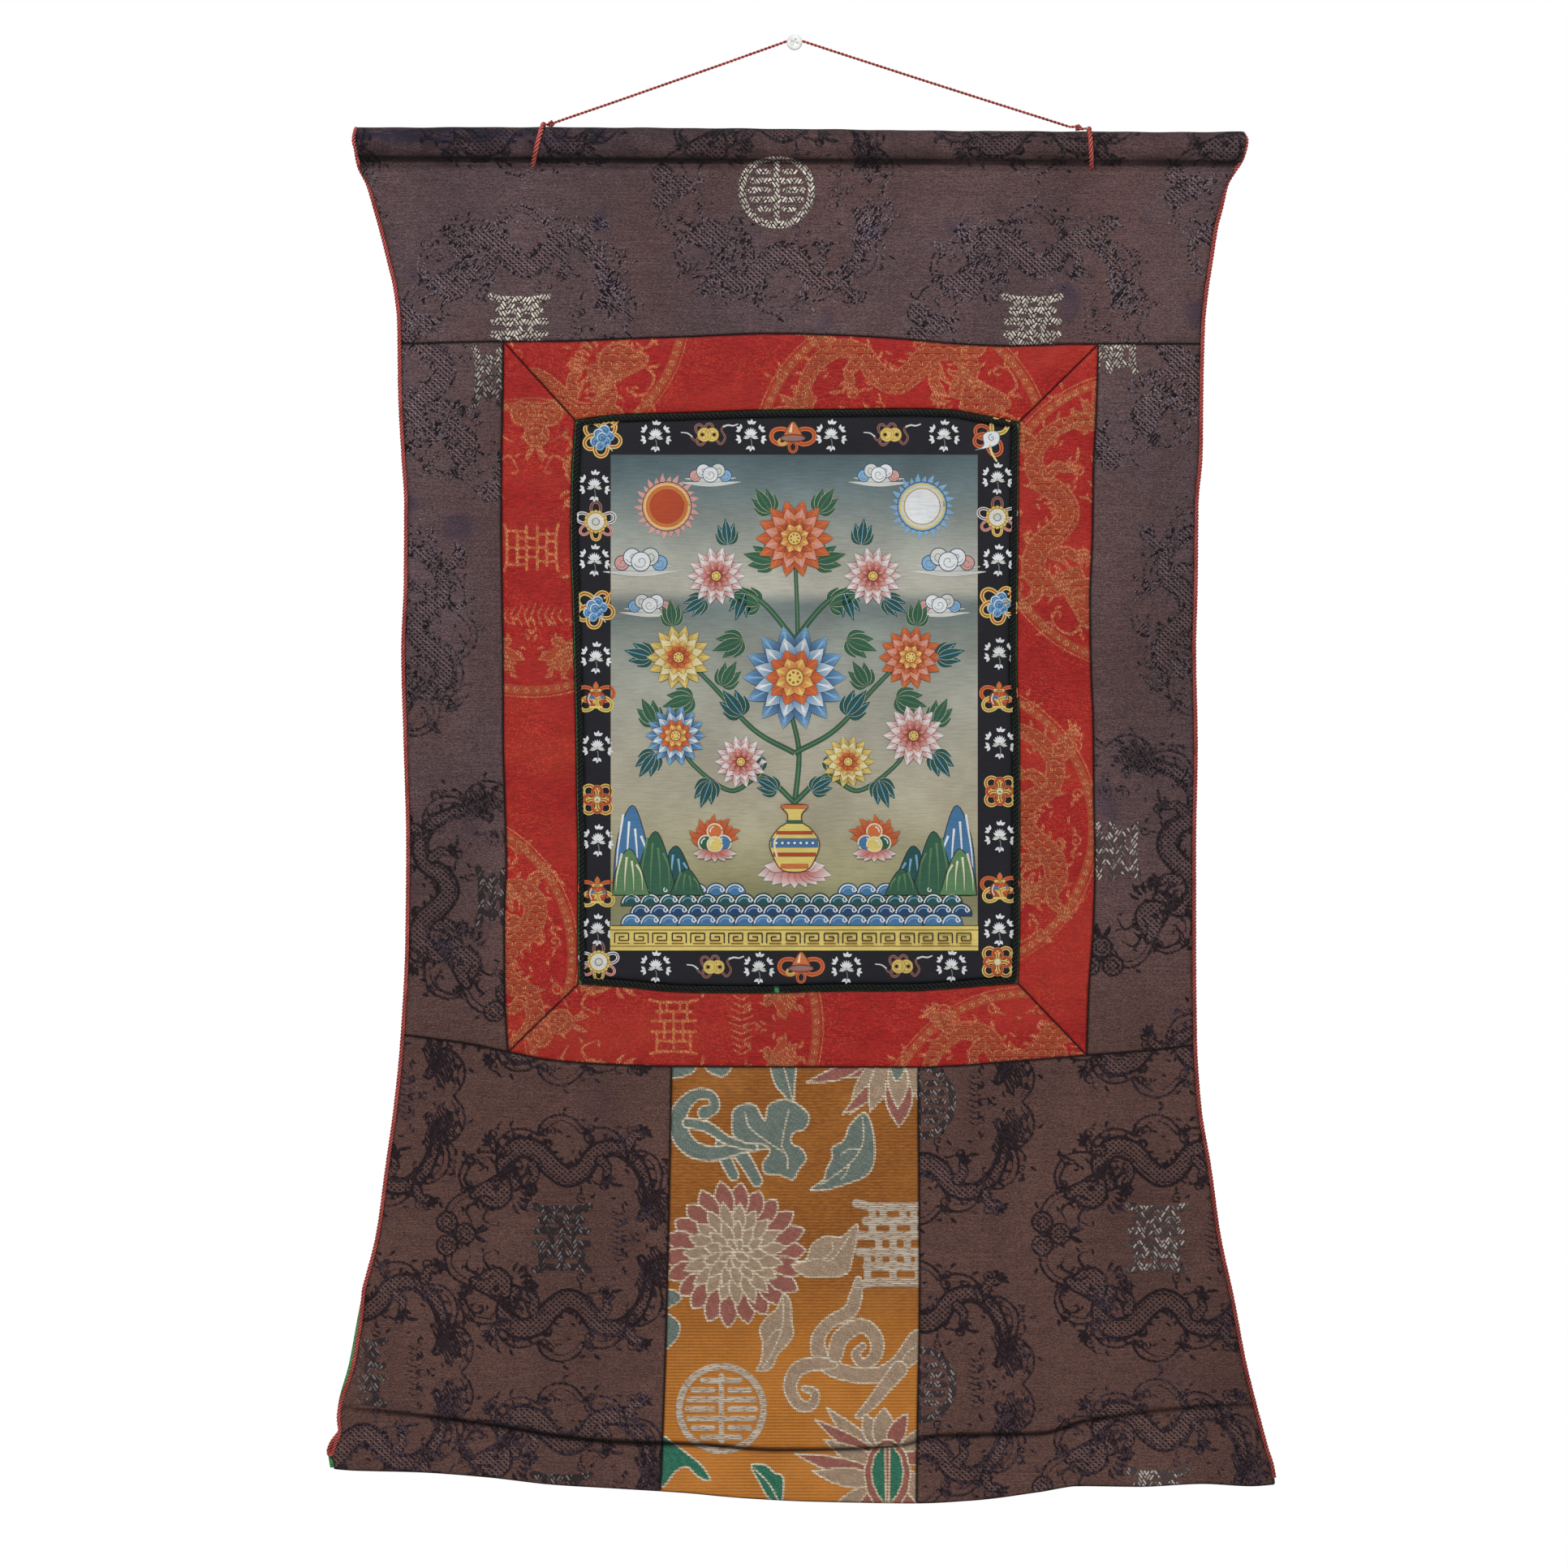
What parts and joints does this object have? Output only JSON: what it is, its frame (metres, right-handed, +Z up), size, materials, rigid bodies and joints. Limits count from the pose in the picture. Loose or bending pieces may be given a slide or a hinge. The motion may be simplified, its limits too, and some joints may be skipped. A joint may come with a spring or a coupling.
{
  "type": "thangka scroll painting on a wall screw",
  "caption": "Painted canvas in a mitred red brocade border on dark brocade with a gold panel let in below; its top is rolled round a rod and hangs by a cord from a wall screw.",
  "frame": {"origin": "middle of the screw's flat wall end, on the wall's surface", "axes": "+Z up along the hanging cloth, +Y into the wall, +X to the viewer's right"},
  "size_m": [0.6531, 0.03, 1.0127],
  "materials": {
    "dark_brocade": "figured silk brocade, worn satin",
    "gold_brocade": "figured silk brocade",
    "red_brocade": "figured silk brocade",
    "painted_canvas": "matte paint on primed cotton",
    "black_cord": "twisted thread",
    "red_cord": "twisted silk",
    "green_lining": "plain cotton",
    "wood": "bare wood",
    "white_screw": "white enamel"
  },
  "bodies": {
    "root": {"top_panel": "dark_brocade", "left_side_panel": "dark_brocade", "right_side_panel": "dark_brocade", "lower_left_panel": "dark_brocade", "lower_right_panel": "dark_brocade", "door_panel": "gold_brocade", "red_border_top": "red_brocade", "red_border_bottom": "red_brocade", "red_border_left": "red_brocade", "red_border_right": "red_brocade", "painting": "painted_canvas", "edging_cord": "black_cord", "left_piping": "red_cord", "right_piping": "red_cord", "lining": "green_lining", "rod": "wood", "tie_left": "red_cord", "tie_right": "red_cord", "knot_left": "red_cord", "knot_right": "red_cord", "hanging_cord": "red_cord", "wall_screw": "white_screw"}
  },
  "joints": []
}
